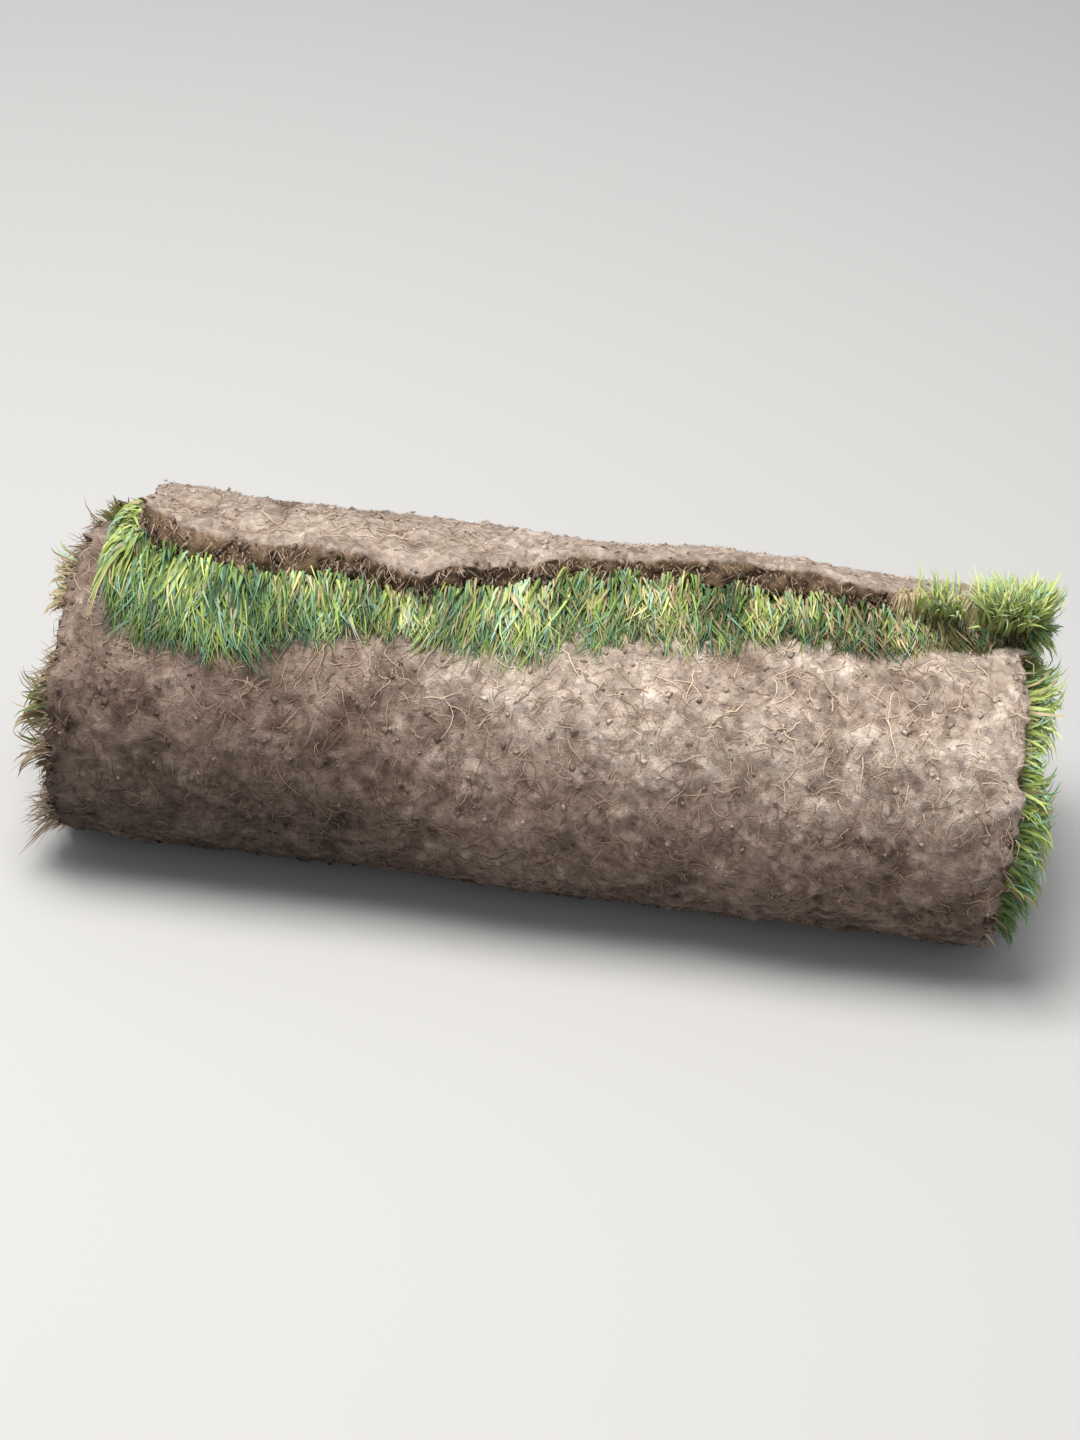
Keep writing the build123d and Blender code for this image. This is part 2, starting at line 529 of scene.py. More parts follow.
def mat_surface(angles, row_depths, places, column_depths):
    """Points and colours of a stretch of mat, its edges crumbled."""
    angles, places = np.broadcast_arrays(angles, places)
    depth = np.maximum(row_depths, column_depths)
    strip = strip_at(angles)
    height, tone = soil_relief(strip, places)
    down = depth * mat_thickness

    chunk = scattered_cells(strip + down, down, edge_chunks[0], 21)[1]
    crumble = 1.2 * (chunk - 0.5) + 0.5 * smooth_noise(strip, down, edge_chunks[1], 27)
    crumble += 0.8 * smooth_noise(strip + 0.5 * down, down, edge_chunks[2], 22) - 0.3
    low_share = fade(places - places.min(), edge_spread)
    high_share = fade(places - places.max(), edge_spread)
    moved = places + edge_crumble * crumble * (high_share - low_share)

    bared = places < tear_place
    torn_share = fade(np.radians(outer_last - angles) * outer_radius, torn_spread) * bared
    lip_share = np.maximum(fade(from_lip(angles, places), edge_spread), torn_share)
    lip_chunk = scattered_cells(places + down, down, lip_chunks[0], 23)[1]
    lip_chunk += 0.7 * scattered_cells(places, down, lip_chunks[1], 24)[1]
    lip_crumble = lip_chunk - 0.85 + 0.5 * smooth_noise(places, down, lip_chunks[2], 24)
    moved_back = set_back(angles, places, depth) - edge_crumble * lip_crumble * lip_share
    turned = angles - turned_by(moved_back)

    rounding = edge_rounding * np.maximum(np.maximum(low_share, high_share), lip_share) ** 2
    offset = (mat_thickness + height - rounding) * (1 - depth)
    points = wound_points(turned, moved, offset + lift_at(angles, places))

    cut_tone = cut_tones[0] + (cut_tones[1] - cut_tones[0]) * depth
    cut_tone += 0.32 * smooth_noise(strip + places, down, cut_grains[0], 25)
    cut_tone += 0.2 * smooth_noise(strip - places, down, cut_grains[1], 26)
    cut_share = np.clip(depth * cut_sharpness, 0, 1)[..., None]
    evenness = np.interp(points[..., 2], top_heights, (1, top_evenness))
    colours = blended(soil_palette, top_tone + (tone - top_tone) * evenness) * (1 - cut_share)
    colours += blended(cut_palette, cut_tone) * cut_share
    # The colours carry painted light on top and painted shade near the ground.
    return points, colours * painted_light_and_shade(points)


def add_mat(name, angles, row_depths, columns, column_depths):
    """Piece of mat. Its rows run along the roll, and its columns round it."""
    points, colours = mat_surface(angles, row_depths[:, None], columns, column_depths)
    return add_piece(name, points, grid_faces(*points.shape[:2]), colours, soil_material)


soil_grains = (
    ("ShaderNodeTexNoise", 900, 0.30),
    ("ShaderNodeTexNoise", 330, 0.24),
    ("ShaderNodeTexNoise", 120, 0.14),
    ("ShaderNodeTexVoronoi", 260, 0.18),
)
soil_material = painted_material("soil", soil_grains, bump_distance=0.0019, roughness=0.93)
wall_depths = np.linspace(0, 1, wall_steps)[1:]

columns, column_depths = wrapped_line(steps_between(-end_place, end_place, grid_spacing))
rows = rows_between(outer_first, outer_last, grid_spacing)
angles = np.concatenate([rows, np.full(wall_steps - 1, outer_last)])
row_depths = np.concatenate([0 * rows, wall_depths])
outer_turn = add_mat("turf_outer_turn", angles[:, None], row_depths, columns, column_depths)
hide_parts("turf_roll")

columns, column_depths = wrapped_line(steps_between(tear_place, end_place, grid_spacing))
shares = np.linspace(0, 1, round((loose_length + lip_step) / grid_spacing))
lips = lip_at(columns)
soil_rows = loose_angle + (lips - loose_angle) * shares[:, None]
wall_rows = lips + 0 * wall_depths[:, None]
under_rows = lips - turned_by(np.linspace(0, lip_turned_in, lip_under_steps)[1:, None])
angles = np.concatenate([soil_rows, wall_rows, under_rows])
row_depths = np.concatenate([0 * shares, wall_depths, np.ones(lip_under_steps - 1)])
add_mat("turf_loose_end", angles, row_depths, columns, column_depths)

columns, column_depths = wrapped_line(end_steps(-end_place, end_place))
rows = rows_between(0, inner_last, grid_spacing)
angles = np.concatenate([np.zeros(wall_steps - 1), rows])
row_depths = np.concatenate([wall_depths[::-1], 0 * rows])
add_mat("turf_inner_turns", angles[:, None], row_depths, columns, column_depths)

# The thatch: mown grass and dead stems pressed flat between the turns. It lies a little back from
# the cut ends, lines the eye, and stops short of the lip.
thatch_palette = (
    (0.020, 0.018, 0.008),
    (0.085, 0.080, 0.030),
    (0.190, 0.190, 0.075),
    (0.330, 0.300, 0.150),
)
thatch_sunk = 0.006
thatch_back = 0.012
thatch_spacing = 0.0032
thatch_wall_steps = 5
thatch_fill = 0.93
thatch_unevenness = 0.10
thatch_sizes = (0.011, 0.004, 0.002)
even_thatch_tone = 0.42
thatch_edge = 0.004
thatch_ragged = 0.0025
thatch_ragged_size = 0.006

thatch_end = end_place - thatch_sunk
steps = end_steps(-thatch_end, thatch_end)
wall = np.linspace(0, 1, thatch_wall_steps)[:-1]
columns = np.concatenate([0 * wall - thatch_end, steps, thatch_end + 0 * wall])
column_depths = np.concatenate([wall, 1 + 0 * steps, wall[::-1]])
shares = np.linspace(0, 1, round(strip_length / thatch_spacing))
last_angles = lip_at(np.clip(columns, tear_place, end_place)) - turned_by(thatch_back)
last_angles = np.where(columns < tear_place + thatch_edge, loose_angle, last_angles)
angles = last_angles * shares[:, None]
strip = strip_at(angles)
tufts = smooth_noise(strip, columns, thatch_sizes[0], 31)
tufts += 0.6 * smooth_noise(strip, columns, thatch_sizes[1], 32)
depth = grass_thickness * column_depths * (thatch_fill + thatch_unevenness * tufts)
side_share = np.sign(columns) * (1 - np.clip((thatch_end - np.abs(columns)) / thatch_edge, 0, 1))
ragged = thatch_ragged * smooth_noise(strip, column_depths * grass_thickness, thatch_ragged_size, 33)
points = wound_points(angles, columns + ragged * side_share, lift_at(angles, columns) - depth)
thatch_tone = even_thatch_tone + 0.28 * tufts + 0.15 * smooth_noise(strip, columns, thatch_sizes[2], 34)
thatch_colours = blended(thatch_palette, thatch_tone)
thatch_grains = (("ShaderNodeTexNoise", 650, 0.35),)
thatch_material = painted_material("thatch", thatch_grains, bump_distance=0.0016, roughness=0.9)
add_piece("thatch", points, grid_faces(*points.shape[:2]), thatch_colours, thatch_material)

# Roots: dry fibres of the lawn, cut with the strip. They lie matted on the soil side, each in a
# curl of its own, and end short of the lip.
root_count = 9000
root_points = 7
root_spread = 0.0065
shortest_root = 0.004
root_curl = 0.4
root_widths = (0.0003, 0.0008)
root_rise = (0.0004, 0.0012)
root_clearance = 0.004
root_overhangs = (0.020, 0.015)
root_palette = ((0.13, 0.085, 0.055), (0.30, 0.22, 0.155), (0.52, 0.41, 0.31))
tip_width = 0.06
root_random = np.random.default_rng(41)


def unit(vectors):
    """The same directions, one long."""
    return vectors / np.maximum(np.linalg.norm(vectors, axis=-1, keepdims=True), 1e-9)


def away_from_axis(points):
    """Directions straight away from the roll's axis."""
    return unit((points - np.array([0, 0, axis_height])) * (0, 1, 1))


def add_ribbons(name, lines, sideways, widths, colours, material):
    """Ribbons that follow the lines and taper to their tips: ribbons by points by three."""
    count, points_each = lines.shape[:2]
    share = np.linspace(0, 1, points_each)
    taper = (1 - share**2.2) * (1 - tip_width) + tip_width
    reach = sideways * (widths[:, None] * taper)[..., None] / 2
    points = np.stack([lines - reach, lines + reach], axis=2)
    points[..., 2] = np.maximum(points[..., 2], floor_gap)
    first = ((np.arange(count)[:, None] * points_each + np.arange(points_each - 1)) * 2).ravel()
    faces = np.stack([first, first + 1, first + 3, first + 2], axis=-1)
    add_piece(name, points, faces, np.repeat(colours, 2, axis=1), material)


def add_flat_roots(name, lines, widths, tones):
    """Roots that lie flat along the roll's surface."""
    sideways = unit(np.cross(np.gradient(lines, axis=1), away_from_axis(lines)))
    # The roots carry the same painted light and shade as the soil.
    colours = blended(root_palette, tones)[:, None, :] * painted_light_and_shade(lines)
    add_ribbons(name, lines, sideways, widths, colours, root_material)


root_grains = (("ShaderNodeTexNoise", 500, 0.2),)
root_material = painted_material("roots", root_grains, bump_distance=0.0003, roughness=0.85)

strip_first = strip_at(middle_angle - full_turn)
last_root = strip_length + root_overhangs[1]
root_strip = root_random.uniform(strip_first - root_overhangs[0], last_root, root_count)
root_place = root_random.uniform(-end_place, end_place, root_count)
root_length = root_random.gamma(2.2, root_spread, root_count) + shortest_root
root_heading = root_random.uniform(0, 2 * np.pi, root_count)
heading = root_heading[:, None] + root_random.normal(0, root_curl, (root_count, root_points)).cumsum(axis=1)
step_length = (root_length / root_points)[:, None]
strip = root_strip[:, None] + (step_length * np.cos(heading)).cumsum(axis=1)
place = root_place[:, None] + (step_length * np.sin(heading)).cumsum(axis=1)
place = np.clip(place, -end_place - root_clearance, end_place + root_clearance)
angle = wound_angle(strip)
on_flap = (root_place > tear_place + 0.003) & (place.min(axis=1) > tear_place)
short_of_lip = from_lip(angle, place).min(axis=1) > root_clearance
inside = np.where(on_flap, short_of_lip, (angle < loose_angle - 1).all(axis=1))
height = soil_relief(strip_at(angle), place)[0]
angle = angle - turned_by(set_back(angle, place, 0))
rise = root_rise[1] * root_random.uniform(0, 1, (root_count, 1)) * np.sin(np.linspace(0, np.pi, root_points))
lines = wound_points(angle, place, mat_thickness + height + root_rise[0] + rise + lift_at(angle, place))
tones = root_random.uniform(0, 1, root_count)
add_flat_roots("roots", lines[inside], root_random.uniform(*root_widths, inside.sum()), tones[inside])

# Roots that hang from the torn wall of the lip: where the strip was torn off, its fibres came out
# of the soil and now hang forward and down.
lip_root_count = 1500
lip_root_length = (0.003, 0.015)
lip_root_drift = 0.6
lip_root_sink = 0.5
palest_lip_root = 0.7

share = np.linspace(0, 1, root_points)
place = root_random.uniform(tear_place, end_place, lip_root_count)
depth = root_random.uniform(0.1, 1, lip_root_count)
angle = lip_at(place)
angle = angle - turned_by(set_back(angle, place, depth)) - lip_root_sink
length = root_random.uniform(*lip_root_length, lip_root_count) * root_random.uniform(0.2, 1, lip_root_count)
forward = length * root_random.uniform(0.2, 1, lip_root_count)
sag_down = (length * root_random.uniform(0.1, 1, lip_root_count))[:, None] * share**1.5
drift = (length * root_random.normal(0, lip_root_drift, lip_root_count))[:, None] * share
offset = (mat_thickness * (1 - depth) + lift_at(angle, place))[:, None] - sag_down
angles = angle[:, None] + turned_by(forward)[:, None] * np.sin(1.6 * share)
lines = wound_points(angles, place[:, None] + drift, np.maximum(offset, -grass_thickness))
tones = root_random.uniform(0, palest_lip_root, lip_root_count)
add_flat_roots("lip_roots", lines, root_random.uniform(*root_widths, lip_root_count), tones)

# Roots that hang out of the cut ends, where the blade went through them. There are more at -X,
# where they make a ragged tan fringe.
fringe_points = 5
fringe_widths = (0.0005, 0.0013)
fringe_tones = (0.25, 0.8)
fringe_sink = 0.003
fringe_sag = 0.006
fringe_pull = -0.3
fringe_wander = 0.5
fringe_crowding = 1.9
fringe_tuft_size = 0.016
thinning_places = (-0.10, 0)  # across the roll, from the front to below its axis
back_growth = 0.65


def add_fringe(name, side, count, longest, last):
    """Roots out of one end, up to that length of strip, close together on the outer turns."""
    share = np.linspace(0, 1, fringe_points)
    strip = last * (1 - 0.97 * root_random.uniform(0, 1, count) ** fringe_crowding)
    offset = root_random.uniform(0.001, mat_thickness, count)
    base = wound_points(wound_angle(strip), side * (end_place - fringe_sink), offset)
    wander = root_random.normal(0, fringe_wander, (count, 3)) * (0, 1, 1)
    wander += np.array([side, 0, fringe_pull])
    growth = np.clip(0.60 + 0.75 * smooth_noise(strip, 0, fringe_tuft_size, 43), 0.15, 1)
    growth *= np.interp(base[:, 1], thinning_places, (1, back_growth))
    reach = longest * (growth * root_random.uniform(0.2, 1, count))[:, None, None]
    lines = base[:, None, :] + wander[:, None, :] * reach * share[:, None]
    lines[..., 2] -= fringe_sag * root_random.uniform(0, 1, (count, 1)) * share**2
    across = unit(np.cross(wander, root_random.normal(0, 1, (count, 3))))
    colours = blended(root_palette, root_random.uniform(*fringe_tones, count))
    across, colours = [np.repeat(each[:, None, :], fringe_points, axis=1) for each in (across, colours)]
    widths = root_random.uniform(*fringe_widths, count)
    add_ribbons(name, lines, across, widths, colours, root_material)


add_fringe("root_fringe_right", side=1, count=1100, longest=0.013, last=strip_length - 0.032)
add_fringe("root_fringe_left", side=-1, count=4600, longest=0.027, last=strip_length - loose_length)

# Grass under the lip: mown blades, 40 to 60 mm long, rooted in the loose end. They hang in flattened
# locks of a dozen or so, bright or in shade, as far forward of the lip as in the photo.
blade_points = 6
blade_widths = (0.0014, 0.0030)
blade_twist = 0.6
grass_palette = (
    (0.030, 0.062, 0.018),
    (0.120, 0.208, 0.044),
    (0.335, 0.435, 0.095),
    (0.640, 0.690, 0.250),
)
blue_palette = ((0.030, 0.088, 0.052), (0.145, 0.300, 0.185), (0.420, 0.600, 0.430))
straw_palette = ((0.110, 0.078, 0.040), (0.325, 0.250, 0.132), (0.590, 0.480, 0.285))
usual_blue_share = 0.4
usual_tip_change = 0.10
pale_base = 0.4

hang_count = 11000
lock_count = 800
lock_spread = 0.0013
lock_growth_size = 0.011
lock_lean_size = 0.030
lock_shade_size = 0.019
lock_tones = (0.47, 1.06)
lock_reaches = (0.08, 1.08)
lock_fan = 30
blade_reaches = (0.72, 1.05)
flat_reaches = (0.2, 0.97)
hang_places = (
    -0.268, -0.23, -0.18, -0.15, -0.11, -0.075, -0.05, -0.02, 0.035, 0.09, 0.15, 0.21, 0.25, 0.305
)
hang_lengths = (
    0.108, 0.096, 0.076, 0.064, 0.037, 0.036, 0.052, 0.080, 0.078, 0.066, 0.056, 0.046, 0.034, 0.018
)
hang_shades = (0.12, 0.13, 0.12, 0.09, 0.06, 0.04, 0, -0.03, 0, 0.10, 0.18, 0.21, 0.08, 0.08)
hang_straw = (0.09, 0.09, 0.10, 0.14, 0.24, 0.24, 0.20, 0.18, 0.22, 0.35, 0.42, 0.46, 0.74, 0.45)
hang_margins = (0.001, 0.003)
sway_margins = (0.012, 0.014)
hang_blue_share = 0.38
hang_tip_change = -0.16
gap_depth = 0.030
gap_fill = 0.95
hang_rise = 0.015
hang_settle = 0.016
least_settle = 0.001
beside_tear = 0.02
flat_share = 0.25
flat_shade = 0.34
patch_contrast = 0.36
tip_shade = 0.50
tip_shade_from = 0.60
grass_random = np.random.default_rng(51)


def blade_colours(straw_share, brightness, blue_share, tip_change):
    """A colour for each point of each blade: pale and yellow at the base, fuller towards the tip.

    The brightness is one number a blade, from 0 to 1, and changes by tip_change towards its tip.
    """
    count = len(brightness)
    share = np.linspace(0, 1, blade_points)
    tone = brightness[:, None] + grass_random.normal(0, 0.06, (count, 1)) + tip_change * share
    tone = np.clip(tone, 0, 1)
    straw = blended(straw_palette, np.clip(tone + 0.1, 0, 1))
    bluish = (grass_random.uniform(0, 1, (count, 1)) < blue_share) * np.clip(share * 1.8 - 0.3, 0, 1)
    bluish = bluish[..., None]
    colours = blended(grass_palette, tone) * (1 - bluish) + blended(blue_palette, tone) * bluish
    dead = (grass_random.uniform(0, 1, (count, 1)) < straw_share) + pale_base * (1 - share) ** 3
    dead = np.clip(dead, 0, 1)[..., None]
    return colours * (1 - dead) + straw * dead


def add_blades(
    name, lines, straw_share, brightness, blue_share=usual_blue_share, tip_change=usual_tip_change
):
    """Blades of grass along these lines, each turned a little out of the flat."""
    count = len(lines)
    twist = grass_random.normal(0, blade_twist, count)[:, None, None]
    along = unit(np.gradient(lines, axis=1))
    flat = unit(np.cross(along, away_from_axis(lines)))
    sideways = flat * np.cos(twist) + unit(np.cross(along, flat)) * np.sin(twist)
    widths = grass_random.uniform(*blade_widths, count)
    colours = blade_colours(straw_share, brightness, blue_share, tip_change)
    add_ribbons(name, lines, sideways, widths, colours, grass_material)


grass_grains = (("ShaderNodeTexNoise", 300, 0.15),)
grass_material = painted_material("grass", grass_grains, bump_distance=0.0002, roughness=0.55, sheen=0.1)

share = np.linspace(0, 1, blade_points)
first_hang = tear_place - hang_margins[0]
last_hang = end_place + hang_margins[1]
lock_place = grass_random.uniform(first_hang, last_hang, lock_count)
lock_reach = grass_random.uniform(*lock_reaches, lock_count) ** 0.75
lock_growth = 0.94 + 0.13 * smooth_noise(lock_place, 0, lock_growth_size, 55)
lock_lean = 0.12 * smooth_noise(lock_place, 0, lock_lean_size, 56) + grass_random.normal(0, 0.13, lock_count)
lock_brightness = grass_random.uniform(*lock_tones, lock_count)
lock = grass_random.integers(0, lock_count, hang_count)
place = lock_place[lock] + grass_random.normal(0, lock_spread, hang_count)
place = np.clip(place, first_hang, last_hang)
lying = grass_random.uniform(0, 1, hang_count) < flat_share
reach_share = lock_reach[lock] * grass_random.uniform(*blade_reaches, hang_count)
reach_share = np.where(lying, grass_random.uniform(*flat_reaches, hang_count), reach_share)
start = -gap_depth * grass_random.uniform(0.03, 1, hang_count) ** 1.5
reach = np.interp(place, hang_places, hang_lengths) * lock_growth[lock] * reach_share
length = (reach - start)[:, None]

lean = lock_lean[lock] + grass_random.normal(0, 0.07, hang_count) + lock_fan * (lock_place[lock] - place)
lean = np.where(place < tear_place + beside_tear, np.clip(lean, -0.12, 1), lean)
curl = grass_random.normal(0, 0.10, hang_count)[:, None] * length * np.sin(np.pi * share)
sway = lean[:, None] * length * share**1.4 + curl
blade_place = np.clip(place[:, None] + sway, tear_place - sway_margins[0], end_place + sway_margins[1])
forward = start[:, None] + length * share
lip = lip_at(np.clip(blade_place, tear_place, end_place))
angle = lip + turned_by(forward)

gap = grass_thickness + lift_at(np.minimum(angle, lip), blade_place)
start_height = gap_fill - 0.7 * reach_share + grass_random.normal(0, 0.12, hang_count)
start_height = np.clip(start_height, 0.1, gap_fill)[:, None]
rise = hang_rise * (1.15 - reach_share) * grass_random.uniform(0, 1, hang_count)
settle = least_settle + hang_settle * (1.1 - reach_share) * grass_random.uniform(0, 1, hang_count)
rise = np.where(lying, 0.1 * rise, rise)[:, None] * np.sin(2.8 * share)
settle = np.where(lying, least_settle, settle)[:, None]
height = gap * start_height * (1 - share) ** 1.4 + settle * share + rise * (forward > 0)
height = np.where(forward < 0, np.minimum(height, gap * gap_fill), height)
lines = wound_points(angle - full_turn, blade_place, mat_thickness + height)

brightness = lock_brightness[lock] - np.interp(place, hang_places, hang_shades)
brightness -= np.where(lying, flat_shade, 0) + tip_shade * np.clip(reach_share - tip_shade_from, 0, 1)
brightness += patch_contrast * smooth_noise(lock_place[lock], reach, lock_shade_size, 57)
straw_share = np.interp(place, hang_places, hang_straw)[:, None]
add_blades("grass_under_lip", lines, straw_share, brightness, hang_blue_share, hang_tip_change)

# Grass beside the torn edge: the blades that the missing piece had covered. They splay over the
# strip of soil that it laid bare, and a few stand at its root.
splay_count = 1700
splay_reach = 0.023
splay_root_share = 0.14
splay_inside = (0.001, 0.008)
splay_turns = (11, 7)  # forward, at the root and along the edge
splay_turn_spread = 8
splay_drift = 0.008
splay_springs = (0.020, 0.013)
splay_tones = (0.66, 0.62)
splay_straw = (0.35, 0.12)

at_root = grass_random.uniform(0, 1, splay_count) < splay_root_share
edge_length = lip_at(tear_place) - loose_angle + 3
angle = loose_angle + edge_length * grass_random.uniform(0, 1, splay_count) ** 0.8
angle = np.where(at_root, loose_angle - 2, angle)
inside = grass_random.uniform(*splay_inside, splay_count)
out = np.where(at_root, 0.003, inside + splay_reach * grass_random.uniform(0.25, 1, splay_count))
bare_place = grass_random.uniform(0.002 - end_place, tear_place, splay_count)
root = np.where(at_root, bare_place, tear_place + inside)
turn = np.where(at_root, *splay_turns) + grass_random.normal(0, splay_turn_spread, splay_count)
drift = np.where(at_root, grass_random.normal(0, splay_drift, splay_count), 0)[:, None] * share**1.4
lift = lift_at(angle, tear_place)[:, None]
start_height = grass_random.uniform(0.1, 0.95, splay_count)[:, None] * (grass_thickness + lift)
spring = np.where(at_root, *splay_springs) * grass_random.uniform(0.1, 1, splay_count)
bow = np.sin(np.where(at_root, 1.7, 2.7)[:, None] * share)
height = start_height * (1 - share) + spring[:, None] * bow
splay_place = root[:, None] - out[:, None] * np.sin(1.4 * share) + drift
angles = angle[:, None] + turn[:, None] * share**1.3 - full_turn
lines = wound_points(angles, splay_place, mat_thickness + height)
brightness = np.where(at_root, *splay_tones) + grass_random.normal(0, 0.13, splay_count)
add_blades("grass_torn_edge", lines, np.where(at_root, *splay_straw)[:, None], brightness)

# Grass at both ends. It stands out of the band between the turns and droops, most from the outer
# turn. It is fresh at +X, and mostly dead and uneven at -X.
first_grass = 0.03
outer_stretch = 0.72
last_stretch = 0.29
stretch_shares = (0, 0.22, 0.64, 1)  # of the blades, up to each of the stretches' ends
outer_blend = 0.06
inner_reach = 0.45
front_directions = (150, 190, 260, 300)
front_shares = (0.6, 1, 1, 0.6)
end_outwards = 0.40
end_swing = 0.6
end_wander = 0.45
end_pull = -0.55
end_roots = (0.003, 0.020)
end_tuft_size = 0.018
left_shade = 0.22


def add_end_grass(name, side, count, reach, droop, straw_share, evenness, last):
    """Grass out of one end, up to that length of strip, densest between its last two turns."""
    share = np.linspace(0, 1, blade_points)
    stretch_ends = (first_grass, last - outer_stretch, last - last_stretch, last)
    strip = np.interp(grass_random.uniform(0, 1, count), stretch_shares, stretch_ends)
    angle = wound_angle(strip)
    outer_share = np.clip((strip - last + outer_stretch) / outer_blend, 0, 1)
    growth = (inner_reach + (1 - inner_reach) * outer_share) * grass_random.uniform(0.15, 1, count) ** 0.8
    growth *= evenness + (1 - evenness) * (0.3 + 1.6 * smooth_noise(strip, 0, end_tuft_size, 53))
    if side < 0:
        growth *= np.interp(direction_of(angle) % full_turn, front_directions, front_shares)
    growth = np.clip(growth, 0.05, 1)
    root = end_place - grass_random.uniform(*end_roots, count)
    out = (end_place - root + reach * growth)[:, None]
    offset = grass_random.uniform(-grass_thickness, 0, count) + lift_at(angle, side * end_place)
    base = wound_points(angle, side * root, offset)
    outwards = away_from_axis(base)
    forwards = np.cross((1, 0, 0), outwards)
    wander = grass_random.normal(0, end_wander, (count, 3)) * (0, 1, 1)
    swing = forwards * grass_random.normal(0, end_swing, (count, 1))
    bend = unit(end_outwards * outwards + swing + wander + np.array([0, 0, end_pull]))
    bent = droop * (growth * grass_random.uniform(0.5, 1.1, count))[:, None] * share**1.8
    lines = base[:, None, :] + bend[:, None, :] * bent[..., None]
    lines[..., 0] += side * out * np.sin(1.5 * share)
    # Painted light and shade: blades that stand higher are painted lighter, and those lower down darker.
    brightness = 0.46 + 0.32 * (base[:, 2] / axis_height - 1) + grass_random.normal(0, 0.1, count)
    if side < 0:
        brightness -= left_shade
    add_blades(name, lines, straw_share, brightness)


add_end_grass(
    "grass_right_end", side=1, count=6200, reach=0.027, droop=0.026, straw_share=0.08, evenness=0.85,
    last=strip_length - 0.034
)
add_end_grass(
    "grass_left_end", side=-1, count=3600, reach=0.026, droop=0.022, straw_share=0.90, evenness=0.35,
    last=strip_length - loose_length
)

# The tuft at the +X corner of the lip: clumps of long bright blades that come out from under the
# corner and curl up over it. A small one stands further in, and others come out of the end.
tuft_count = 1500
clump_count = 46
inner_clump_share = 0.16
inner_clump_place = 0.238
inner_clump_spread = 0.018
corner_place = 0.284
clump_backs = (0.004, 0.070)
clump_lean = 0.010
tuft_rise = 0.0175
tuft_out = 0.022
tuft_spread = 0.007
tuft_back_spread = 0.004
tuft_forward_spread = 0.011
tuft_depth = 0.010
tuft_forward = 0.013
droop_share = 0.4
droop_shade = 0.30
furthest_out = 0.0275
tuft_straw = 0.05
tuft_tone = 0.50
tuft_blue_share = 0.3
# The blade bases are painted dark as shade under the tuft, and the tips are lighter by this much.
tuft_base_shade = 0.38

clump_spot = grass_random.uniform(0, 1, clump_count)
at_lip = grass_random.uniform(0, 1, clump_count) < 0.5
further_in = clump_spot < inner_clump_share
inner_place = inner_clump_place + inner_clump_spread * grass_random.uniform(0, 1, clump_count)
corner_places = grass_random.uniform(corner_place, end_place, clump_count)
clump_place = np.where(further_in, inner_place, corner_places)
clump_place = np.where(at_lip | further_in, clump_place, end_place - 0.002)
clump_back = np.where(at_lip, 0.002, grass_random.uniform(*clump_backs, clump_count))
clump_back = np.where(further_in, 0.003, clump_back)
clump_growth = tuft_rise * grass_random.uniform(0.45, 1.0, clump_count)
clump_swing = grass_random.normal(0, clump_lean, (clump_count, 2))

clump = grass_random.integers(0, clump_count, tuft_count)
from_end = (~at_lip & ~further_in)[clump]
place = np.clip(clump_place[clump] + grass_random.normal(0, tuft_spread, tuft_count), 0, end_place)
back = clump_back[clump] + grass_random.normal(0, tuft_back_spread, tuft_count)
angle = lip_at(place) - turned_by(back)
growth = clump_growth[clump] * grass_random.uniform(0.1, 1, tuft_count)
growth *= np.where(from_end, np.clip(1.15 - back / 0.10, 0.3, 1), 1)
drooping = from_end & (grass_random.uniform(0, 1, tuft_count) < droop_share)
growth = np.where(drooping, -0.8 * growth, growth)
curl_over = np.where(drooping, 0.1, 1) * (mat_thickness + 0.002)
out = np.where(from_end, tuft_out * grass_random.uniform(0.15, 1, tuft_count), 0.002)
side_swing = clump_swing[clump, 0] + grass_random.normal(0, tuft_spread, tuft_count)
side_swing = np.where(from_end, 0.3 * side_swing, side_swing)
forward = np.where(from_end, 0.003, tuft_forward * grass_random.uniform(0.5, 1.2, tuft_count))
forward = forward[:, None] * np.sin(2.5 * share)
forward_swing = clump_swing[clump, 1] + grass_random.normal(0, tuft_forward_spread, tuft_count)
forward += forward_swing[:, None] * share**1.5
base_offset = -0.001 - tuft_depth * grass_random.uniform(0, 1, tuft_count)[:, None]
curl = (curl_over[:, None] - base_offset - 0.004) * np.sin(1.5 * share)
offset = base_offset + growth[:, None] * share**1.5 + curl
side_place = place[:, None] + out[:, None] * np.sin(1.6 * share) + side_swing[:, None] * share**1.6
side_place = np.minimum(side_place, end_place + furthest_out - 0.004 * (1 - share))
lift = lift_at(angle, end_place)[:, None]
lines = wound_points(angle[:, None] + turned_by(forward), side_place, offset + lift)
# The bases carry painted shade and the tips are lighter. Drooping blades get more painted shade.
brightness = grass_random.normal(tuft_tone, 0.12, tuft_count) - np.where(drooping, droop_shade, 0)
add_blades("grass_corner_tuft", lines, tuft_straw, brightness, tuft_blue_share, tuft_base_shade)

# Dead blades near that corner, pulled out of the turn as it came loose. They lie over the edge of
# the lip and hide its torn wall.
edge_straw_count = 480
edge_straw_places = (0.220, 0.288)
edge_straw_back = (0.002, 0.010)
edge_straw_forward = 0.006
edge_straw_drift = 0.005
edge_straw_tone = 0.58
edge_straw_share = 0.88

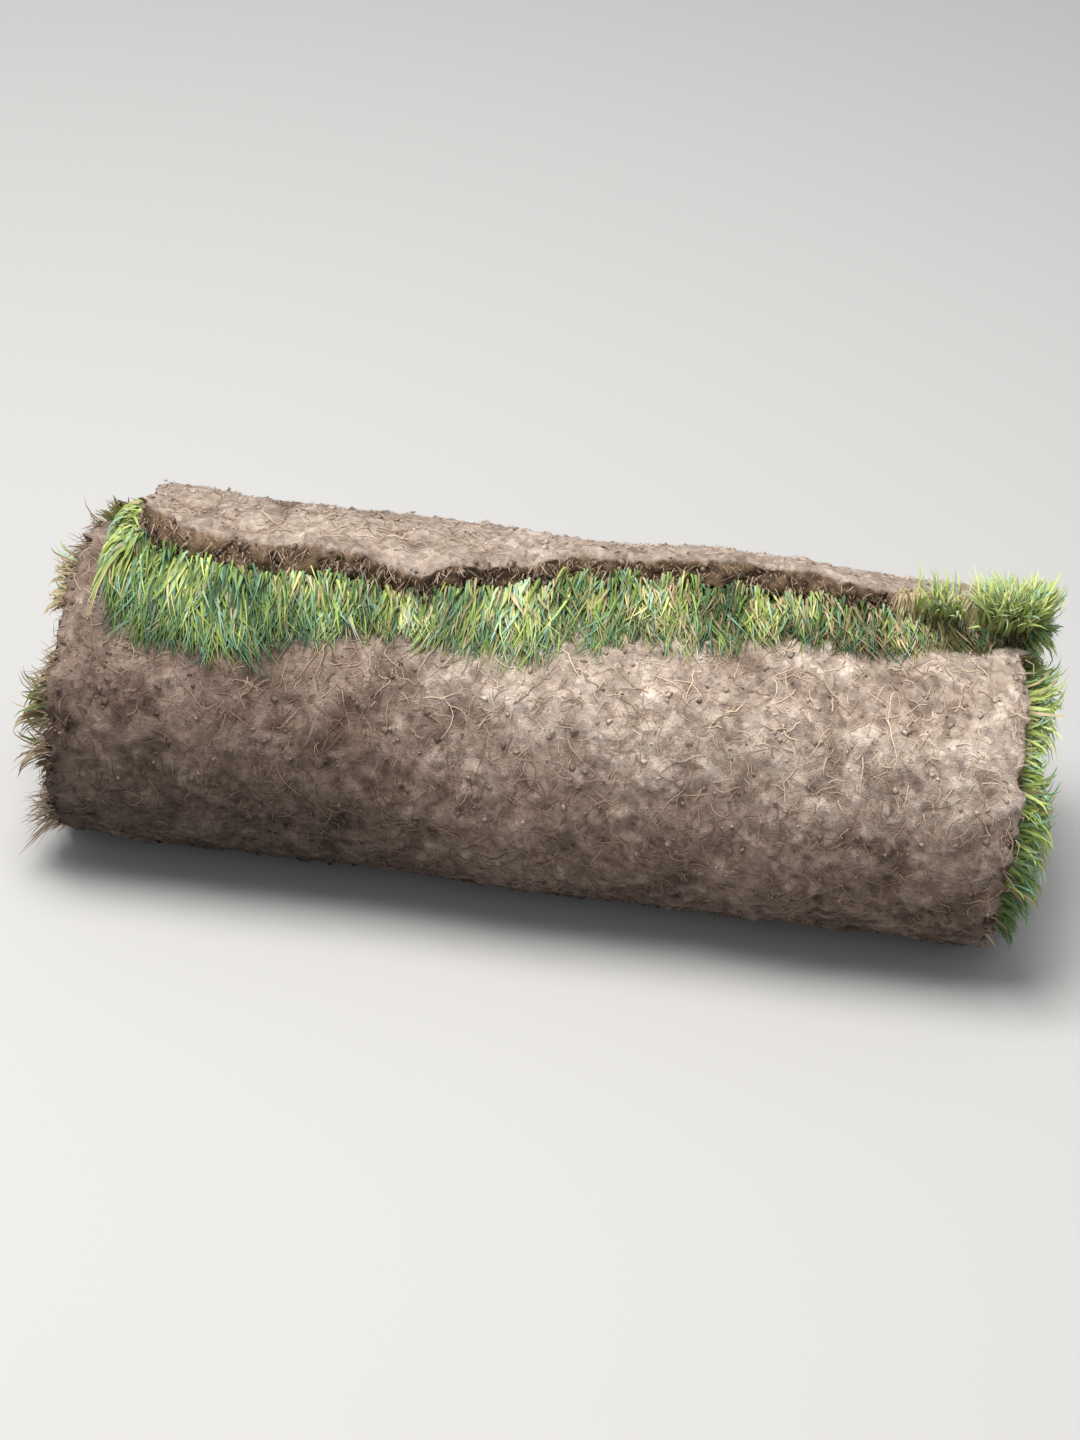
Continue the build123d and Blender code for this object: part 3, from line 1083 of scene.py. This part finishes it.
place = grass_random.uniform(*edge_straw_places, edge_straw_count)
back = grass_random.uniform(*edge_straw_back, edge_straw_count)
angle = lip_at(place) - turned_by(back)
forward = back + edge_straw_forward * grass_random.uniform(0.3, 1, edge_straw_count)
drift = grass_random.normal(0, edge_straw_drift, edge_straw_count)[:, None] * share
hang = mat_thickness * grass_random.uniform(0.4, 1.4, edge_straw_count)[:, None] * share**1.8
offset = mat_thickness + 0.0005 + 0.002 * np.sin(np.pi * share) - hang + lift_at(angle, place)[:, None]
angles = angle[:, None] + turned_by(forward[:, None] * np.sin(1.5 * share))
lines = wound_points(angles, place[:, None] + drift, offset)
brightness = grass_random.normal(edge_straw_tone, 0.12, edge_straw_count)
add_blades("straw_over_lip", lines, edge_straw_share, brightness)

# Crumbs: small clods that broke off the mat. They lie loosely on the soil side, on the torn wall of
# the lip and on the cut ends.
crumb_count = 9500
crumb_sizes = (0.0005, 0.0026)
crumb_unevenness = 0.28
crumb_rise = 0.0004
end_crumb_share = 0.32
end_crumb_sink = 0.0025
end_crumb_tone = 0.35
wall_crumb_share = 0.09
wall_crumb_tone = 0.40
crumb_random = np.random.default_rng(61)
crumb_corners = np.array([(1, 0, 0), (-1, 0, 0), (0, 1, 0), (0, -1, 0), (0, 0, 1), (0, 0, -1)])
crumb_faces = np.array([
    (0, 2, 4), (2, 1, 4), (1, 3, 4), (3, 0, 4),
    (2, 0, 5), (1, 2, 5), (3, 1, 5), (0, 3, 5),
])

strip = crumb_random.uniform(strip_first, strip_length - 0.004, crumb_count)
place = crumb_random.uniform(-end_place, end_place, crumb_count)
last_angle = np.where(place > tear_place + 0.002, lip_at(place) - 2, loose_angle - 1)
elsewhere = last_angle - 300 * crumb_random.uniform(0, 1, crumb_count)
angle = np.where(wound_angle(strip) < last_angle, wound_angle(strip), elsewhere)
height, tone = soil_relief(strip_at(angle), place)
angle = angle - turned_by(set_back(angle, place, 0))

at_end = crumb_random.uniform(0, 1, crumb_count) < end_crumb_share
end_strip = (strip_length - loose_length) * crumb_random.uniform(0.02, 1, crumb_count) ** 0.6
angle = np.where(at_end, wound_angle(end_strip), angle)
place = np.where(at_end, np.sign(place) * (end_place - end_crumb_sink), place)
height = np.where(at_end, -mat_thickness * crumb_random.uniform(0.05, 0.95, crumb_count), height)
tone = np.where(at_end, end_crumb_tone, tone)

on_wall = (crumb_random.uniform(0, 1, crumb_count) < wall_crumb_share) & (place > tear_place)
wall_depth = crumb_random.uniform(0.05, 0.9, crumb_count)
wall_angle = lip_at(place) - turned_by(set_back(lip_at(place), place, wall_depth))
angle = np.where(on_wall, wall_angle, angle)
height = np.where(on_wall, -mat_thickness * wall_depth, height)
tone = np.where(on_wall, wall_crumb_tone, tone)

middle = wound_points(angle, place, mat_thickness + height + crumb_rise + lift_at(angle, place))
size_share = crumb_random.uniform(0, 1, crumb_count) ** 5
size = crumb_sizes[0] + (crumb_sizes[1] - crumb_sizes[0]) * size_share
corners = crumb_corners + crumb_random.normal(0, crumb_unevenness, (crumb_count, len(crumb_corners), 3))
points = middle[:, None, :] + corners * size[:, None, None]
points[..., 2] = np.maximum(points[..., 2], floor_gap)
faces = (np.arange(crumb_count)[:, None, None] * len(crumb_corners) + crumb_faces).reshape(-1, 3)
crumb_tone = np.clip(tone + 0.05 + crumb_random.normal(0, 0.10, crumb_count), 0, 1)
# The crumbs carry the same painted light and shade as the soil.
crumb_colours = blended(soil_palette, crumb_tone) * painted_light_and_shade(middle)
crumb_colours = np.repeat(crumb_colours[:, None, :], len(crumb_corners), axis=1)
add_piece("crumbs", points, faces, crumb_colours, soil_material)
